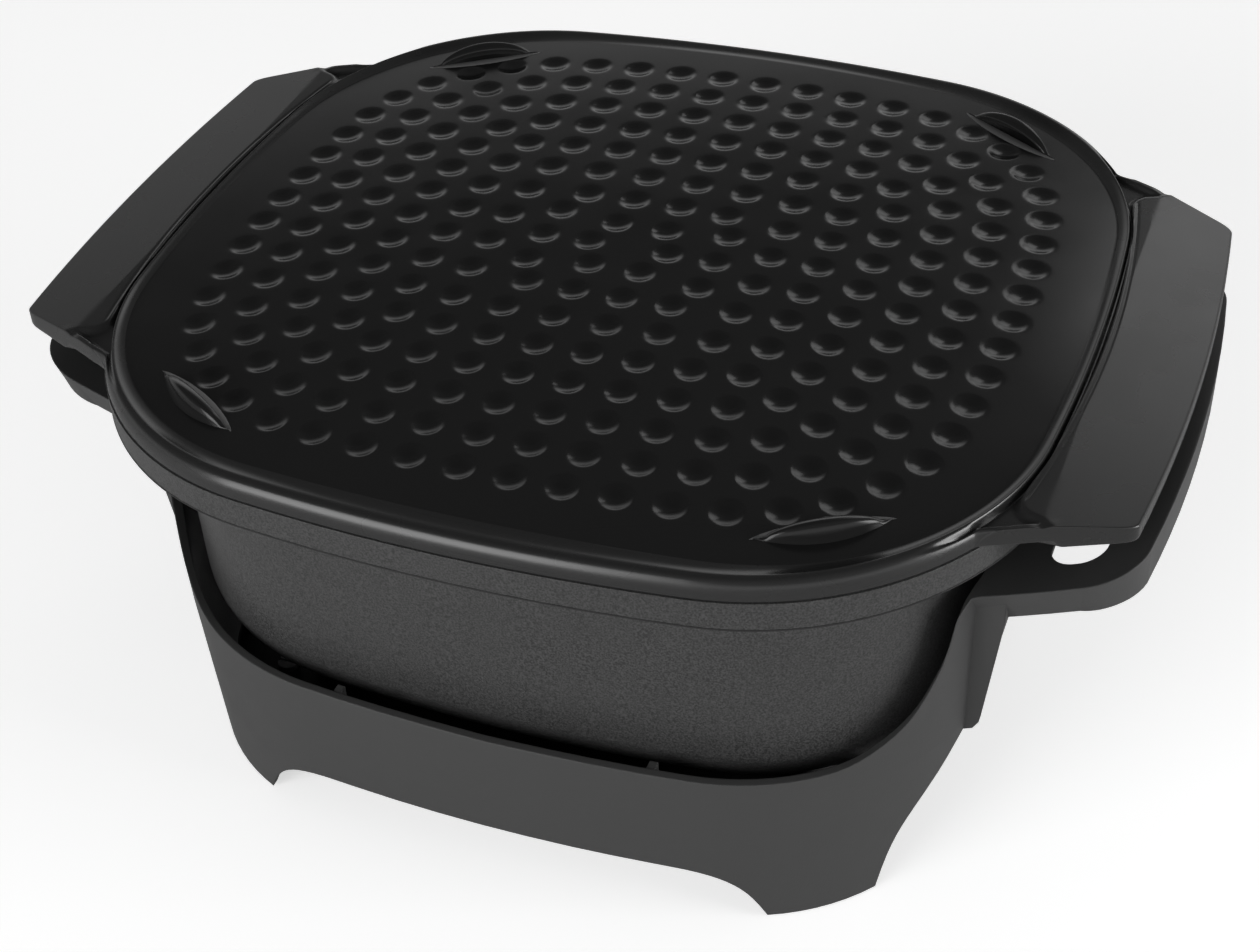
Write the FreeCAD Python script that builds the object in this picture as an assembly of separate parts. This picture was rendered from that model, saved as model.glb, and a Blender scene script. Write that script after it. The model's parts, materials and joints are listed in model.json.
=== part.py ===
"""Electric roasting pan: cradle base, lift-out cast pot with a cast-in element, and a cast lid.

Millimetres. Z is up, X runs from handle to handle, and the front is at -Y.
The origin is on the table, under the middle of the pan. Shapes are mirrored about both upright planes,
apart from the socket for the control probe, which is under the left handle (-X).
"""
import math
import os

import FreeCAD
import Part
from FreeCAD import Vector as V

os.makedirs("parts", exist_ok=True)

# Levels above the table
FOOT_GAP = 1.0
ARCH_FRONT = 22.5
ARCH_SIDE = 89.0
ARCH_PROBE = 60.0
PROBE_HALF_Y = 62.0
FRONT_RIM = 67.5
POT_BOTTOM = 44.5
POT_LIP = 11.0
LID_SEAT = 160.0
POT_WALL_TOP = LID_SEAT - 21.0
LID_WALL = 5.0
BEAD_RISE = 2.7
CREASE_SINK = 1.1
DOME_RISE = 6.2
LID_WALL_TOP = LID_SEAT + LID_WALL
LID_BEAD = LID_WALL_TOP + BEAD_RISE
LID_CREASE = LID_BEAD - CREASE_SINK
DOME_TOP = LID_CREASE + DOME_RISE
VENT_LEVEL = LID_CREASE + 2.0

# Half sizes of the rim that the pot and the lid share, and the bow of its sides
RIM_X = 177.0
RIM_Y = 165.0
RIM_CORNER = 108.0
BOW_FRONT = 700.0
BOW_SIDE = 760.0

# Pot
POT_INSET = 21.5
POT_WALL = 4.0
POT_FLOOR = 5.0
POT_BEND = 28.0
SEAT_WIDTH = 13.5
STEP = 1.4

# Lid
LID_INSET = 0.8
LID_EDGE_ROUND = 3.2
CREASE_X = 169.5
CREASE_Y = 153.8
CREASE_CORNER = 98.0
DOME_R = 2400.0
LID_SKIN = 3.6
LIP_GAP = 1.4
LIP_DEPTH = 5.0
LIP_WALL = 3.4
WING_SKIN = 3.2
WING_ROOT_LOW = LID_SEAT - 2.8
WING_TIP_LOW = LID_SEAT - 3.6
WING_GAP = 1.6
WING_ROOT_TOP = LID_BEAD - 1.5
WING_TIP_TOP = WING_ROOT_TOP - 4.2
WING_MID_X = 208.5
WING_CORNER_X = 203.4
WING_HALF_Y = 88.7
WING_ROOT_X = 150.0
WING_ROOT_HALF_Y = 113.0

# Dimples of the self-basting lid: rings of equal pitch, laid out in a square and then narrowed along Y
RING_COUNTS = (54, 46, 40, 34, 28, 20, 14, 6)
RING_HALF = 142.7
RING_PITCH = 18.2
RING_CORNER = 79.0
RING_BOW = 660.0
RING_Y_SCALE = 0.9235
DIMPLE_DIA = 12.0
DIMPLE_DEPTH = 2.6

# Corner vents
VENT_TIPS = ((131.5, 112.1), (93.1, 134.9))
VENT_HIGH = 8.0
VENT_DEEP = 4.8
VENT_SKIN = 1.6
VENT_MOUTH_WIDE = 34.0
VENT_MOUTH_HIGH = 5.6
VENT_SLOT = (24.0, 1.8)

# Base cradle
WALL = 3.0
CRADLE_RINGS = ((FOOT_GAP, 152.0, 155.3, 80.2), (60.0, 161.0, 155.8, 95.1), (144.0, 163.4, 155.8, 95.2))
RIB_X = 59.6
RIB_WALL = 3.0
RIB_REACH = 4.0
TOP_LINE = ((0.0, FRONT_RIM), (60.0, 67.9), (97.0, 68.4), (112.0, 69.0), (124.9, 71.0), (132.5, 74.9),
            (139.2, 80.6), (144.5, 90.2), (147.3, 98.0), (149.0, 105.7), (149.9, 111.4), (151.2, 117.8),
            (154.0, 121.8), (160.0, 124.4), (174.0, 129.0), (190.0, 135.2), (201.0, 139.6), (208.0, 141.4),
            (216.0, 142.2))
HANDLE_HIGH = 17.0
HANDLE_PLAN_TOP = (142.0, 103.0, (190.0, 94.3), (202.6, 84.8), (207.4, 72.0))
HANDLE_PLAN_LOW = (107.0, 85.5, (187.5, 77.5), (201.6, 75.0), (206.8, 68.0))
HANDLE_BOW = 4.6
HANDLE_SKIN = 3.0
SLOT_X = (175.0, 197.0)
SLOT_HALF_Y = 77.5
SLOT_ROUND = 8.5
FIN_Y = 87.0
FIN_THICK = 3.0
FIN_BOTTOM = 56.5
FIN_EDGE = ((161.4, 86.0), (164.8, 111.0))

# Corner arms that carry the pot, the shield and the feet, measured along the corner's diagonal
ARM_ORIGIN = (70.0, 62.0)
ARM_LEVEL = 21.0
ARM_WIDE = 20.0
ARM_THICK = 3.5
WEB_THICK = 4.0
PAD_AT = 40.0
SCREW_AT = 58.0
FOOT_AT = 69.0
POST_R = 9.0
PAD_R = 7.5
PAD_THICK = 3.0
FOOT_R = 10.0
FOOT_HIGH = 5.0
SPIGOT_R = 2.5
SCREW_R = 2.0
SCREW_HEAD_R = 4.0
SCREW_HEAD = 2.4
CLEAR = 0.15

# Heat shield
SHIELD_THICK = 1.0
SHIELD_LIP = 5.0
SHIELD_GAP = 5.0

# Element, terminals and probe socket
TUBE_R = 4.0
TUBE_LEVEL = 38.0
RIDGE_WIDE = 14.0
RIDGE_BOTTOM = 32.5
LOOP_X = 96.0
LOOP_Y = 84.0
LOOP_CORNER = 34.0
PIN_Y = 13.0
PIN_R = 2.2
PIN_END = 143.0
LEG_END = 116.0
BUSH_LONG = 9.0
BUSH_R = 5.2
BUSH_BARREL_R = 3.3
SENSOR_R = 3.2
SENSOR_LONG = 62.0
GUARD_X = (118.0, 146.0)
GUARD_HALF_Y = 27.0
GUARD_Z = (28.0, 44.0)
GUARD_WALL = 2.4
TAB_LONG = 12.0


def circle_meet(c1, r1, c2, r2):
    """The meeting point of two circles that is further from the origin."""
    dx, dy = c2[0] - c1[0], c2[1] - c1[1]
    d = math.hypot(dx, dy)
    a = (r1 * r1 - r2 * r2 + d * d) / (2.0 * d)
    h = math.sqrt(max(r1 * r1 - a * a, 0.0))
    mx, my = c1[0] + a * dx / d, c1[1] + a * dy / d
    ends = [(mx + h * dy / d, my - h * dx / d), (mx - h * dy / d, my + h * dx / d)]
    return max(ends, key=lambda p: p[0] + p[1])


def corner_of(hx, hy, rc, front, side):
    """Centre of the corner arc and its two tangent angles, in the quarter where X and Y are positive."""
    c1, c2 = (0.0, hy - front), (hx - side, 0.0)
    c = circle_meet(c1, front - rc, c2, side - rc)
    a1 = math.atan2(c[1] - c1[1], c[0] - c1[0])
    a2 = math.atan2(c[1] - c2[1], c[0] - c2[0])
    return c, a1, a2


def outline(hx, hy, rc, z, front=BOW_FRONT, side=BOW_SIDE):
    """Closed wire of eight tangent arcs: bowed sides and round corners."""
    (cx, cy), a1, a2 = corner_of(hx, hy, rc, front, side)
    mid = 0.5 * (a1 + a2)
    p1 = (cx + rc * math.cos(a1), cy + rc * math.sin(a1))
    pm = (cx + rc * math.cos(mid), cy + rc * math.sin(mid))
    p2 = (cx + rc * math.cos(a2), cy + rc * math.sin(a2))

    def at(p, sx, sy):
        return V(sx * p[0], sy * p[1], z)

    arcs = []
    for sx, sy in ((1, 1), (1, -1), (-1, -1), (-1, 1)):
        q = (p1, pm, p2) if sx * sy > 0 else (p2, pm, p1)
        arcs.append(Part.Arc(*(at(k, sx, sy) for k in q)).toShape())
        if sx * sy > 0:
            arcs.append(Part.Arc(at(p2, sx, sy), V(sx * hx, 0, z), at(p2, sx, -sy)).toShape())
        else:
            arcs.append(Part.Arc(at(p1, sx, sy), V(0, sy * hy, z), at(p1, -sx, sy)).toShape())
    return Part.Wire(arcs)


def rim(d, z):
    """The shared rim outline moved outwards by d."""
    return outline(RIM_X + d, RIM_Y + d, RIM_CORNER + d, z, BOW_FRONT + d, BOW_SIDE + d)


def prism(wire, height):
    return Part.Face(wire).extrude(V(0, 0, height))


def rim_prism(d, z0, z1):
    return prism(rim(d, z0), z1 - z0)


def loft(*wires):
    return Part.makeLoft(list(wires), True, True)


def box(x0, x1, y0, y1, z0, z1):
    return Part.makeBox(x1 - x0, y1 - y0, z1 - z0, V(x0, y0, z0))


def cyl(r, x, y, z0, z1):
    return Part.makeCylinder(r, z1 - z0, V(x, y, z0))


def cyl_x(r, x0, x1, y, z):
    return Part.makeCylinder(r, x1 - x0, V(x0, y, z), V(1, 0, 0))


def face_of(points):
    return Part.Face(Part.makePolygon([V(*p) for p in points] + [V(*points[0])]))


def mirror_x(shape):
    return shape.mirror(V(0, 0, 0), V(1, 0, 0))


def mirror_y(shape):
    return shape.mirror(V(0, 0, 0), V(0, 1, 0))


def four(shape):
    """The shape in all four corners."""
    pair = [shape, mirror_x(shape)]
    return pair + [mirror_y(s) for s in pair]


def merged(shapes):
    out = shapes[0].fuse(shapes[1:]) if len(shapes) > 1 else shapes[0]
    return out.removeSplitter()


def write(name, shape):
    """Writes one node and says what it holds."""
    solids = shape.Solids
    good = all(s.isValid() and s.Volume > 0 for s in solids)
    body = solids[0] if len(solids) == 1 else Part.makeCompound(solids)
    body.exportStep("parts/%s.step" % name)
    b = body.BoundBox
    print("%-20s solids %d valid %s  x %.1f %.1f  y %.1f %.1f  z %.1f %.1f"
          % (name, len(solids), good, b.XMin, b.XMax, b.YMin, b.YMax, b.ZMin, b.ZMax))


def diagonal(r, side=0.0):
    """Plan point at distance r along the corner's diagonal, moved sideways."""
    k = math.sqrt(0.5)
    return ARM_ORIGIN[0] + k * (r - side), ARM_ORIGIN[1] + k * (r + side)


def bar(r0, r1, wide, z0, z1):
    """Block along the corner's diagonal."""
    pts = [diagonal(r0, -wide / 2), diagonal(r1, -wide / 2), diagonal(r1, wide / 2), diagonal(r0, wide / 2)]
    return face_of([(x, y, z0) for x, y in pts]).extrude(V(0, 0, z1 - z0))


# Base cradle

def cradle_skin(inset):
    wires = [outline(hx - inset, hy - inset, rc - inset, z) for z, hx, hy, rc in CRADLE_RINGS]
    return loft(*wires)


def top_curve(drop, x_from=0.0):
    """Half of the cradle's top line as a smooth edge in the XZ plane at y=-300, lowered by drop."""
    pts = [V(x, -300, z - drop) for x, z in TOP_LINE if x >= x_from]
    curve = Part.BSplineCurve()
    curve.interpolate(pts)
    return curve.toShape(), pts


def under_top(drop, floor=-20.0):
    """Everything below the top line, between x=0 and its end, full depth."""
    edge, pts = top_curve(drop)
    a, b = pts[0], pts[-1]
    lower = [Part.makeLine(b, V(b.x, -300, floor)), Part.makeLine(V(b.x, -300, floor), V(a.x, -300, floor)),
             Part.makeLine(V(a.x, -300, floor), a)]
    return Part.Face(Part.Wire([edge] + lower)).extrude(V(0, 600, 0))


def handle_plan(spec, d):
    """Plan of the right handle at one level, from inside the wall out to its bowed edge, inset by d."""
    z, root_y, shoulder, corner, tip = spec
    root = (140.0, root_y - d)
    start = (151.0, root_y - d)
    shoulder = (shoulder[0] - 0.2 * d, shoulder[1] - d)
    corner = (corner[0] - 0.75 * d, corner[1] - 0.75 * d)
    tip = (tip[0] - d, tip[1] - 0.35 * d)
    mid = tip[0] + HANDLE_BOW

    def p(q, s):
        return V(q[0], s * q[1], z)

    edges = [Part.makeLine(p(root, -1), p(start, -1)), Part.makeLine(p(start, -1), p(shoulder, -1)),
             Part.Arc(p(shoulder, -1), p(corner, -1), p(tip, -1)).toShape(),
             Part.Arc(p(tip, -1), V(mid, 0, z), p(tip, 1)).toShape(),
             Part.Arc(p(tip, 1), p(corner, 1), p(shoulder, 1)).toShape(),
             Part.makeLine(p(shoulder, 1), p(start, 1)), Part.makeLine(p(start, 1), p(root, 1)),
             Part.makeLine(p(root, 1), p(root, -1))]
    return Part.Wire(edges)


def slot_block(grow, z0, z1):
    """The finger slot of the right handle, with round corners and a bowed outer side."""
    x0, x1 = SLOT_X[0] - grow, SLOT_X[1] + grow
    y = SLOT_HALF_Y + grow
    bow = HANDLE_BOW
    edges = [Part.makeLine(V(x0, -y, z0), V(x0, y, z0)), Part.makeLine(V(x0, y, z0), V(x1 - bow, y, z0)),
             Part.Arc(V(x1 - bow, y, z0), V(x1, 0, z0), V(x1 - bow, -y, z0)).toShape(),
             Part.makeLine(V(x1 - bow, -y, z0), V(x0, -y, z0))]
    block = Part.Face(Part.Wire(edges)).extrude(V(0, 0, z1 - z0))
    upright = [e for e in block.Edges if abs(e.BoundBox.ZLength - (z1 - z0)) < 1e-6]
    return block.makeFillet(SLOT_ROUND + min(grow, 0.0), upright)


def handle_block(d):
    """Handle outline inset by d; its front and back lean in towards the bottom."""
    return loft(handle_plan(HANDLE_PLAN_TOP, d), handle_plan(HANDLE_PLAN_LOW, d))


def right_handle():
    block = handle_block(0.0).common(under_top(0.0)).cut(under_top(HANDLE_HIGH))
    block = block.cut(handle_block(HANDLE_SKIN).common(under_top(HANDLE_SKIN)))
    return block.cut(slot_block(0.0, 50.0, 200.0))


def right_fin():
    """Upright fin under the front of the right handle; it guards the probe."""
    (x1, z1), (x2, z2) = FIN_EDGE
    y = -FIN_Y - FIN_THICK / 2
    foot_x = x1 - (z1 - FIN_BOTTOM) * (x2 - x1) / (z2 - z1)
    corner = 5.0
    pts = [(148.0, FIN_BOTTOM), (foot_x - corner, FIN_BOTTOM), (foot_x - 1.4, FIN_BOTTOM + 1.6),
           (foot_x + 0.7, FIN_BOTTOM + corner), (x2, z2), (x2, 122.0), (150.0, 116.0), (148.0, 110.0)]
    return face_of([(x, y, z) for x, z in pts]).extrude(V(0, FIN_THICK, 0))


def arch_cutters():
    """Openings between the legs: low ones front and back, a high one on the right, the probe's on the left."""
    front = [(-99.0, -9.0), (-99.0, 1.0), (-95.0, 9.0), (-90.5, 15.0), (-84.0, 19.5), (-74.0, 22.0),
             (-58.0, ARCH_FRONT)]
    side = [(-120.6, -9.0), (-120.6, 1.0), (-118.1, 13.4), (-113.8, 25.9), (-106.6, 36.3), (-97.4, 46.5),
            (-87.8, 57.9), (-72.2, 71.1), (-56.5, 82.2), (-44.0, 87.4), (-34.0, ARCH_SIDE)]
    probe = [(-PROBE_HALF_Y, -9.0), (-PROBE_HALF_Y, 1.0), (1.0 - PROBE_HALF_Y, 14.0), (4.0 - PROBE_HALF_Y, 28.0),
             (9.0 - PROBE_HALF_Y, ARCH_PROBE - 18.0), (17.0 - PROBE_HALF_Y, ARCH_PROBE - 8.0),
             (27.0 - PROBE_HALF_Y, ARCH_PROBE - 2.0), (38.0 - PROBE_HALF_Y, ARCH_PROBE)]
    cuts = []
    for pts, start, along_x in ((front, -300, False), (side, 0, True), (probe, -300, True)):
        place = (lambda a, z: V(start, a, z)) if along_x else (lambda a, z: V(a, start, z))
        left = Part.BSplineCurve()
        left.interpolate([place(a, z) for a, z in pts[1:]])
        right = Part.BSplineCurve()
        right.interpolate([place(-a, z) for a, z in reversed(pts[1:])])
        a0, z0 = pts[0]
        edges = [Part.makeLine(place(a0, z0), place(*pts[1])), left.toShape(),
                 Part.makeLine(place(*pts[-1]), place(-pts[-1][0], pts[-1][1])), right.toShape(),
                 Part.makeLine(place(-pts[1][0], pts[1][1]), place(-a0, z0)),
                 Part.makeLine(place(-a0, z0), place(a0, z0))]
        cuts.append(Part.Face(Part.Wire(edges)).extrude(V(300, 0, 0) if along_x else V(0, 600, 0)))
    return cuts


def corner_arm():
    """Arm, web, pot post, shield boss and foot boss in the corner where X and Y are positive."""
    reach = 96.0
    arm = bar(PAD_AT - 6.0, reach, ARM_WIDE, ARM_LEVEL - ARM_THICK, ARM_LEVEL)
    web = bar(PAD_AT, reach, WEB_THICK, 6.0, ARM_LEVEL - 1.0)
    post = cyl(POST_R, *diagonal(PAD_AT), ARM_LEVEL - ARM_THICK, POT_BOTTOM - PAD_THICK)
    boss = cyl(5.0, *diagonal(SCREW_AT), ARM_LEVEL - 12.0, ARM_LEVEL)
    foot = cyl(FOOT_R, *diagonal(FOOT_AT), FOOT_HIGH, ARM_LEVEL - ARM_THICK)
    arm = arm.fuse([web, post, boss, foot])
    arm = arm.cut(cyl(SCREW_R, *diagonal(SCREW_AT), ARM_LEVEL - 10.0, ARM_LEVEL + 1.0))
    arm = arm.cut(cyl(SPIGOT_R + CLEAR, *diagonal(FOOT_AT), 0.0, FOOT_HIGH + 8.0))
    return arm.cut(cyl(SPIGOT_R + CLEAR, *diagonal(PAD_AT), POT_BOTTOM - 12.0, POT_BOTTOM))


def base_cradle():
    shell = cradle_skin(0.0).cut(cradle_skin(WALL))
    half_space = under_top(0.0)
    keep = half_space.fuse(mirror_x(half_space))
    shell = shell.common(keep)
    for cutter in arch_cutters():
        shell = shell.cut(cutter)
    handle, fin = right_handle(), right_fin()
    fins = [fin, mirror_y(fin)]
    inner = cradle_skin(WALL - 0.4)
    grip = handle.fuse(fins).cut(inner)
    rib = box(RIB_X - RIB_WALL / 2, RIB_X + RIB_WALL / 2, 140.0, 154.0, ARCH_FRONT, FRONT_RIM)
    rib = rib.common(cradle_skin(WALL - 0.4)).cut(cradle_skin(WALL + RIB_REACH))
    arm = corner_arm().common(cradle_skin(WALL - 0.4))
    return merged([shell, grip, mirror_x(grip)] + four(rib) + four(arm))


def rest_pad():
    """Soft pad with a spigot, on top of a pot post."""
    x, y = diagonal(PAD_AT)
    pad = cyl(PAD_R, x, y, POT_BOTTOM - PAD_THICK, POT_BOTTOM)
    return pad.fuse(cyl(SPIGOT_R, x, y, POT_BOTTOM - 11.0, POT_BOTTOM - PAD_THICK)).removeSplitter()


def foot():
    """Rubber foot with a spigot, pressed into its boss."""
    x, y = diagonal(FOOT_AT)
    base = Part.makeCone(FOOT_R - 1.5, FOOT_R, FOOT_HIGH, V(x, y, 0))
    return base.fuse(cyl(SPIGOT_R, x, y, FOOT_HIGH, FOOT_HIGH + 7.0)).removeSplitter()


def screw(x, y, z, length, radius, head_radius, head):
    """Pan head screw that points down; z is the face that the head rests on."""
    body = cyl(radius, x, y, z - length, z).fuse(cyl(head_radius, x, y, z, z + head))
    slot = box(x - head_radius, x + head_radius, y - 0.5, y + 0.5, z + head - 0.9, z + head + 1.0)
    return body.cut(slot).removeSplitter()


def heat_shield():
    """Sheet tray over the arms, pierced for the pot posts."""
    top = ARM_LEVEL + SHIELD_THICK
    _, hx, hy, rc = CRADLE_RINGS[0]
    edge = WALL + SHIELD_GAP

    def ring(inset, z):
        inset += edge
        return outline(hx - inset, hy - inset, rc - inset, z)

    tray = prism(ring(0.0, ARM_LEVEL), SHIELD_LIP + SHIELD_THICK)
    tray = tray.cut(prism(ring(SHIELD_THICK, top), SHIELD_LIP + 1.0))
    for s in four(cyl(POST_R + 0.6, *diagonal(PAD_AT), ARM_LEVEL - 1.0, top + 1.0)):
        tray = tray.cut(s)
    for s in four(cyl(SCREW_R + 0.3, *diagonal(SCREW_AT), ARM_LEVEL - 1.0, top + 1.0)):
        tray = tray.cut(s)
    return tray


# Pot and element

def element_path(level):
    """Centre line of the tube: out of the left side, round the loop and back."""
    x, y, r = LOOP_X, LOOP_Y, LOOP_CORNER
    k = r * (1.0 - math.sqrt(0.5))
    rp = 16.0
    kp = rp * (1.0 - math.sqrt(0.5))

    def p(a, b):
        return V(a, b, level)

    return Part.Wire([
        Part.makeLine(p(-LEG_END, PIN_Y), p(-x, PIN_Y)),
        Part.Arc(p(-x, PIN_Y), p(-x + rp - kp, PIN_Y + kp), p(-x + rp, PIN_Y + rp)).toShape(),
        Part.makeLine(p(-x + rp, PIN_Y + rp), p(-x + rp, y - r)),
        Part.Arc(p(-x + rp, y - r), p(-x + rp + k, y - k), p(-x + rp + r, y)).toShape(),
        Part.makeLine(p(-x + rp + r, y), p(x - r, y)),
        Part.Arc(p(x - r, y), p(x - k, y - k), p(x, y - r)).toShape(),
        Part.makeLine(p(x, y - r), p(x, -y + r)),
        Part.Arc(p(x, -y + r), p(x - k, -y + k), p(x - r, -y)).toShape(),
        Part.makeLine(p(x - r, -y), p(-x + rp + r, -y)),
        Part.Arc(p(-x + rp + r, -y), p(-x + rp + k, -y + k), p(-x + rp, -y + r)).toShape(),
        Part.makeLine(p(-x + rp, -y + r), p(-x + rp, -PIN_Y - rp)),
        Part.Arc(p(-x + rp, -PIN_Y - rp), p(-x + rp - kp, -PIN_Y - kp), p(-x, -PIN_Y)).toShape(),
        Part.makeLine(p(-x, -PIN_Y), p(-LEG_END, -PIN_Y)),
    ])


def tube(radius):
    path = element_path(TUBE_LEVEL)
    ring = Part.Wire([Part.makeCircle(radius, V(-LEG_END, PIN_Y, TUBE_LEVEL), V(1, 0, 0))])
    return path.makePipeShell([ring], True, True)


def ridge():
    """Cast ridge below the floor that the tube is cast into."""
    path = element_path(RIDGE_BOTTOM)
    w = RIDGE_WIDE / 2
    start = [V(-LEG_END, PIN_Y - w, RIDGE_BOTTOM), V(-LEG_END, PIN_Y + w, RIDGE_BOTTOM),
             V(-LEG_END, PIN_Y + w, POT_BOTTOM + 1.0), V(-LEG_END, PIN_Y - w, POT_BOTTOM + 1.0)]
    section = Part.makePolygon(start + [start[0]])
    return path.makePipeShell([section], True, True)


def pot():
    d = -POT_INSET
    outer = rim_prism(d, POT_BOTTOM, POT_WALL_TOP)
    low = [e for e in outer.Edges if e.BoundBox.ZMax < POT_BOTTOM + 0.01]
    outer = outer.makeFillet(POT_BEND, low)
    flare = loft(rim(d, POT_WALL_TOP), rim(d + 4.0, POT_WALL_TOP + 3.5), rim(-STEP, LID_SEAT - POT_LIP))
    lip = rim_prism(0.0, LID_SEAT - POT_LIP, LID_SEAT)
    body = merged([outer, flare, lip])
    d -= POT_WALL
    inner = rim_prism(d, POT_BOTTOM + POT_FLOOR, LID_SEAT - 16.0)
    low = [e for e in inner.Edges if e.BoundBox.ZMax < POT_BOTTOM + POT_FLOOR + 0.01]
    inner = inner.makeFillet(POT_BEND - POT_WALL, low)
    mouth = loft(rim(d, LID_SEAT - 16.0), rim(-SEAT_WIDTH, LID_SEAT - 8.0))
    top = rim_prism(-SEAT_WIDTH, LID_SEAT - 8.0, LID_SEAT + 1.0)
    body = body.cut(merged([inner, mouth, top]))
    body = body.fuse([ridge(), box(-LEG_END, -60.0, -PIN_Y - 7.0, PIN_Y + 7.0, RIDGE_BOTTOM, POT_BOTTOM + 1.0)])
    for s in (1, -1):
        lug = box(-GUARD_X[0] - TAB_LONG, -104.0, s * 21.0 - 6.0, s * 21.0 + 6.0, GUARD_Z[1] + 0.0, POT_BOTTOM + 2.0)
        body = body.fuse(lug)
        body = body.cut(cyl(1.6, -GUARD_X[0] - 6.0, s * 21.0, GUARD_Z[1] - 2.0, GUARD_Z[1] + 5.0))
    body = body.cut(tube(TUBE_R + CLEAR))
    body = body.cut(cyl_x(SENSOR_R + CLEAR, -GUARD_X[0] - 1.0, -LEG_END + SENSOR_LONG - 18.0, 0.0, TUBE_LEVEL))
    return body.removeSplitter()


def element():
    """Sheathed tube, with the ends open for the bushes."""
    body = tube(TUBE_R)
    for s in (1, -1):
        body = body.cut(cyl_x(PIN_R + CLEAR, -LEG_END - 1.0, -LEG_END + 18.0, s * PIN_Y, TUBE_LEVEL))
    return body


def terminal_pin(s):
    y = s * PIN_Y
    body = cyl_x(PIN_R, -PIN_END, -LEG_END + 16.0, y, TUBE_LEVEL)
    tip = [e for e in body.Edges if e.BoundBox.XMax < -PIN_END + 0.01 and e.Length > 1.0]
    return body.makeChamfer(0.8, tip)


def bush(s):
    """Ceramic bush on a pin, between the tube's end and the guard."""
    y = s * PIN_Y
    x1 = -LEG_END - 0.1
    body = cyl_x(BUSH_R, x1 - 1.7, x1, y, TUBE_LEVEL).fuse(cyl_x(BUSH_BARREL_R, x1 - BUSH_LONG, x1 - 1.7, y, TUBE_LEVEL))
    return body.cut(cyl_x(PIN_R + CLEAR, x1 - BUSH_LONG - 1.0, x1 + 1.0, y, TUBE_LEVEL)).removeSplitter()


def sensor_well():
    """Closed tube between the pins, that takes the probe's sensor."""
    x0 = -PIN_END + 6.0
    x1 = x0 + SENSOR_LONG
    body = cyl_x(SENSOR_R, x0, x1, 0.0, TUBE_LEVEL)
    return body.cut(cyl_x(SENSOR_R - 0.6, x0 - 1.0, x1 - 1.5, 0.0, TUBE_LEVEL))


def socket_guard():
    """Moulded collar round the pins, open to the left for the probe."""
    x0, x1 = -GUARD_X[1], -GUARD_X[0]
    h, t = GUARD_HALF_Y, GUARD_WALL
    body = box(x0, x1, -h, h, GUARD_Z[0], GUARD_Z[1])
    body = body.cut(box(x0 - 1.0, x1 - t, -h + t, h - t, GUARD_Z[0] + t, GUARD_Z[1] - t))
    for s in (1, -1):
        body = body.cut(cyl_x(BUSH_BARREL_R + CLEAR, x1 - t - 1.0, x1 + 1.0, s * PIN_Y, TUBE_LEVEL))
        body = body.cut(cyl(1.8, x1 - 6.0, s * 21.0, GUARD_Z[1] - t - 1.0, GUARD_Z[1] + 1.0))
        body = body.cut(cyl(3.4, x1 - 6.0, s * 21.0, GUARD_Z[0] - 1.0, GUARD_Z[0] + t + 1.0))
    return body.cut(cyl_x(SENSOR_R + CLEAR, x1 - t - 1.0, x1 + 1.0, 0.0, TUBE_LEVEL))


def guard_screw(s):
    x, y = -GUARD_X[0] - 6.0, s * 21.0
    z = GUARD_Z[1] - GUARD_WALL
    body = cyl(1.5, x, y, z, z + 6.5).fuse(cyl(2.9, x, y, z - 1.9, z))
    return body.cut(box(x - 3.0, x + 3.0, y - 0.4, y + 0.4, z - 3.0, z - 1.2)).removeSplitter()


def earth_contact():
    """Spring strip along the guard's floor that meets the probe's shell first."""
    x0 = -GUARD_X[1] + 2.0
    z = GUARD_Z[0] + GUARD_WALL
    strip = box(x0, -GUARD_X[0] - GUARD_WALL - 0.2, -4.0, 4.0, z, z + 0.8)
    bump = Part.makeCylinder(2.0, 8.0, V(x0 + 8.0, -4.0, z + 0.6), V(0, 1, 0))
    bump = bump.cut(box(x0, x0 + 16.0, -5.0, 5.0, z - 3.0, z + 0.4))
    return strip.fuse(bump).removeSplitter()


# Lid

def ring_points(half, corner, bow, count):
    """Evenly spaced points round a square outline, narrowed along Y, from half a pitch past the +Y axis."""
    corner = max(corner, 1.5)
    (cx, cy), a1, a2 = corner_of(half, half, corner, bow, bow)
    pieces = [((0.0, half - bow), bow, math.pi / 2, a1), ((cx, cy), corner, a1, a2),
              ((half - bow, 0.0), bow, a2, 0.0)]
    quarter = sum(r * (s - e) for _, r, s, e in pieces)
    points = []
    for i in range(count):
        run = (i + 0.5) * 4.0 * quarter / count
        turn, run = int(run // quarter), run % quarter
        for (ox, oy), r, s, e in pieces:
            if run <= r * (s - e):
                break
            run -= r * (s - e)
        a = s - run / r
        x, y = ox + r * math.cos(a), oy + r * math.sin(a)
        for _ in range(turn):
            x, y = y, -x
        points.append((x, y * RING_Y_SCALE))
    return points


def dimple_points():
    points = []
    for k, count in enumerate(RING_COUNTS):
        d = k * RING_PITCH
        points += ring_points(RING_HALF - d, RING_CORNER - d, RING_BOW - d, count)
    return points


def dome_height(x, y):
    return DOME_TOP - DOME_R + math.sqrt(DOME_R ** 2 - x * x - y * y)


def dome(thickness):
    """Ball whose crown is the lid's dome, lowered by a skin thickness."""
    return Part.makeSphere(DOME_R - thickness, V(0, 0, DOME_TOP - DOME_R))


def crease(z, d=0.0):
    return outline(CREASE_X + d, CREASE_Y + d, CREASE_CORNER + d, z)


def vent_frame():
    """Middle of the tips, the direction from tip to tip, and the direction to the corner."""
    (ax, ay), (bx, by) = VENT_TIPS
    t = V(ax - bx, ay - by, 0)
    wide = t.Length
    t.normalize()
    n = V(-t.y, t.x, 0)
    return V((ax + bx) / 2, (ay + by) / 2, VENT_LEVEL), t, n, wide


def segment_r(wide, high):
    return (wide * wide / 4.0 + high * high) / (2.0 * high)


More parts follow.
